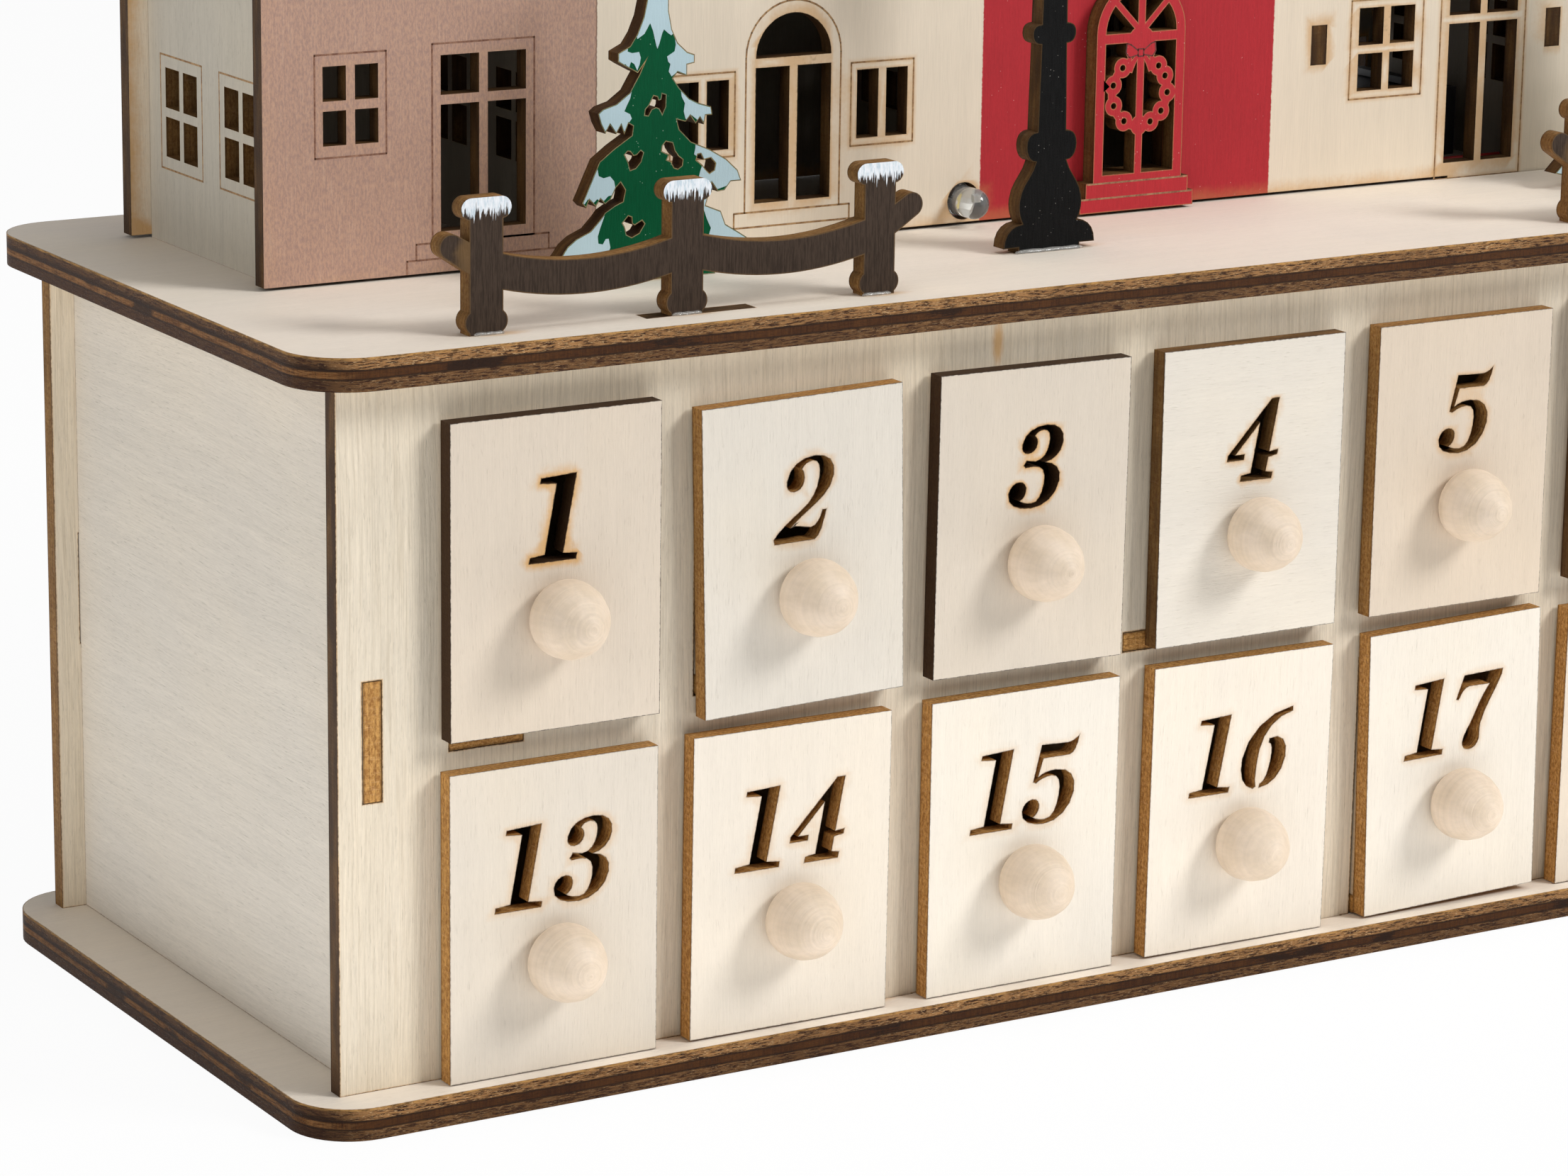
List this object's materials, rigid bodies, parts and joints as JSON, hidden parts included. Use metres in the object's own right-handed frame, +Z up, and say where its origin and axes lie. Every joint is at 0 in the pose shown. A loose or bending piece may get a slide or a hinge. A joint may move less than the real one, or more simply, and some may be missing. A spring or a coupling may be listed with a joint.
{
  "type": "advent calendar",
  "caption": "Long wooden chest with rows of small numbered drawers, each with a round knob, carrying a street of gabled houses with trees, fences and lamp posts.",
  "frame": {"origin": "middle of the underside of the box around the whole calendar, drawers shut", "axes": "+Z up, +X along the front to the right of someone facing it, +Y from the drawers' fronts to the back"},
  "size_m": [0.5432, 0.1276, 0.2287],
  "materials": {
    "deck_ply": "bare three-ply with burnt edges",
    "panel_ply": "bare basswood plywood with burnt edges",
    "drawer_ply": "bare basswood plywood with burnt edges",
    "inner_ply": "bare plywood",
    "street_ply": "plywood, painted brown, red or left pale by house",
    "snow_paint": "white painted plywood",
    "red_paint": "matt red paint on plywood",
    "green_paint": "matt green paint with pale blue snow",
    "brown_paint": "dark brown paint with white snow",
    "black_paint": "black paint",
    "clear_resin": "clear cast resin",
    "wire_cover": "red sleeve",
    "box_plastic": "black moulded plastic",
    "cell_steel": "nickel-plated steel",
    "contact_brass": "spring brass"
  },
  "bodies": {
    "case": {"base_plate": "deck_ply", "top_plate": "deck_ply", "front_panel": "panel_ply", "back_panel": "panel_ply", "side_panel_left": "panel_ply", "side_panel_right": "panel_ply", "middle_shelf": "inner_ply", "column_dividers": "inner_ply", "village_front": "street_ply", "village_back": "street_ply", "end_walls": "street_ply", "partition_walls": "street_ply", "door_surrounds": "red_paint", "spruce_tree_left": "green_paint", "spruce_tree_middle": "green_paint", "spruce_tree_right": "green_paint", "fence_left": "brown_paint", "fence_middle": "brown_paint", "fence_right": "brown_paint", "lamp_post_left": "black_paint", "lamp_post_right": "black_paint", "leds": "clear_resin", "led_wiring": "wire_cover", "battery_box": "box_plastic", "coin_cells": "cell_steel", "battery_contacts": "contact_brass", "roof_1": "snow_paint", "roof_2": "snow_paint", "roof_3": "snow_paint", "roof_4": "snow_paint", "roof_5": "snow_paint", "roof_6": "snow_paint", "roof_7": "snow_paint", "roof_8": "snow_paint"},
    "drawer_01": {"drawer_01": "drawer_ply"},
    "drawer_02": {"drawer_02": "drawer_ply"},
    "drawer_03": {"drawer_03": "drawer_ply"},
    "drawer_04": {"drawer_04": "drawer_ply"},
    "drawer_05": {"drawer_05": "drawer_ply"},
    "drawer_06": {"drawer_06": "drawer_ply"},
    "drawer_07": {"drawer_07": "drawer_ply"},
    "drawer_08": {"drawer_08": "drawer_ply"},
    "drawer_09": {"drawer_09": "drawer_ply"},
    "drawer_10": {"drawer_10": "drawer_ply"},
    "drawer_11": {"drawer_11": "drawer_ply"},
    "drawer_12": {"drawer_12": "drawer_ply"},
    "drawer_13": {"drawer_13": "drawer_ply"},
    "drawer_14": {"drawer_14": "drawer_ply"},
    "drawer_15": {"drawer_15": "drawer_ply"},
    "drawer_16": {"drawer_16": "drawer_ply"},
    "drawer_17": {"drawer_17": "drawer_ply"},
    "drawer_18": {"drawer_18": "drawer_ply"},
    "drawer_19": {"drawer_19": "drawer_ply"},
    "drawer_20": {"drawer_20": "drawer_ply"},
    "drawer_21": {"drawer_21": "drawer_ply"},
    "drawer_22": {"drawer_22": "drawer_ply"},
    "drawer_23": {"drawer_23": "drawer_ply"},
    "drawer_24": {"drawer_24": "drawer_ply"},
    "battery_cover": {"battery_cover": "box_plastic"},
    "battery_switch": {"battery_switch": "box_plastic"}
  },
  "joints": [
    {"name": "drawer_01_slide", "type": "slide", "parent": "case", "child": "drawer_01", "axis": [0, -1, 0], "range_m": [0, 0.07]},
    {"name": "drawer_02_slide", "type": "slide", "parent": "case", "child": "drawer_02", "axis": [0, -1, 0], "range_m": [0, 0.07]},
    {"name": "drawer_03_slide", "type": "slide", "parent": "case", "child": "drawer_03", "axis": [0, -1, 0], "range_m": [0, 0.07]},
    {"name": "drawer_04_slide", "type": "slide", "parent": "case", "child": "drawer_04", "axis": [0, -1, 0], "range_m": [0, 0.07]},
    {"name": "drawer_05_slide", "type": "slide", "parent": "case", "child": "drawer_05", "axis": [0, -1, 0], "range_m": [0, 0.07]},
    {"name": "drawer_06_slide", "type": "slide", "parent": "case", "child": "drawer_06", "axis": [0, -1, 0], "range_m": [0, 0.07]},
    {"name": "drawer_07_slide", "type": "slide", "parent": "case", "child": "drawer_07", "axis": [0, -1, 0], "range_m": [0, 0.07]},
    {"name": "drawer_08_slide", "type": "slide", "parent": "case", "child": "drawer_08", "axis": [0, -1, 0], "range_m": [0, 0.07]},
    {"name": "drawer_09_slide", "type": "slide", "parent": "case", "child": "drawer_09", "axis": [0, -1, 0], "range_m": [0, 0.07]},
    {"name": "drawer_10_slide", "type": "slide", "parent": "case", "child": "drawer_10", "axis": [0, -1, 0], "range_m": [0, 0.07]},
    {"name": "drawer_11_slide", "type": "slide", "parent": "case", "child": "drawer_11", "axis": [0, -1, 0], "range_m": [0, 0.07]},
    {"name": "drawer_12_slide", "type": "slide", "parent": "case", "child": "drawer_12", "axis": [0, -1, 0], "range_m": [0, 0.07]},
    {"name": "drawer_13_slide", "type": "slide", "parent": "case", "child": "drawer_13", "axis": [0, -1, 0], "range_m": [0, 0.07]},
    {"name": "drawer_14_slide", "type": "slide", "parent": "case", "child": "drawer_14", "axis": [0, -1, 0], "range_m": [0, 0.07]},
    {"name": "drawer_15_slide", "type": "slide", "parent": "case", "child": "drawer_15", "axis": [0, -1, 0], "range_m": [0, 0.07]},
    {"name": "drawer_16_slide", "type": "slide", "parent": "case", "child": "drawer_16", "axis": [0, -1, 0], "range_m": [0, 0.07]},
    {"name": "drawer_17_slide", "type": "slide", "parent": "case", "child": "drawer_17", "axis": [0, -1, 0], "range_m": [0, 0.07]},
    {"name": "drawer_18_slide", "type": "slide", "parent": "case", "child": "drawer_18", "axis": [0, -1, 0], "range_m": [0, 0.07]},
    {"name": "drawer_19_slide", "type": "slide", "parent": "case", "child": "drawer_19", "axis": [0, -1, 0], "range_m": [0, 0.07]},
    {"name": "drawer_20_slide", "type": "slide", "parent": "case", "child": "drawer_20", "axis": [0, -1, 0], "range_m": [0, 0.07]},
    {"name": "drawer_21_slide", "type": "slide", "parent": "case", "child": "drawer_21", "axis": [0, -1, 0], "range_m": [0, 0.07]},
    {"name": "drawer_22_slide", "type": "slide", "parent": "case", "child": "drawer_22", "axis": [0, -1, 0], "range_m": [0, 0.07]},
    {"name": "drawer_23_slide", "type": "slide", "parent": "case", "child": "drawer_23", "axis": [0, -1, 0], "range_m": [0, 0.07]},
    {"name": "drawer_24_slide", "type": "slide", "parent": "case", "child": "drawer_24", "axis": [0, -1, 0], "range_m": [0, 0.07]},
    {"name": "battery_cover_slide", "type": "slide", "parent": "case", "child": "battery_cover", "axis": [0, 1, 0], "range_m": [0, 0.026]},
    {"name": "battery_switch_slide", "type": "slide", "parent": "case", "child": "battery_switch", "axis": [1, 0, 0], "range_m": [0, 0.003]}
  ]
}
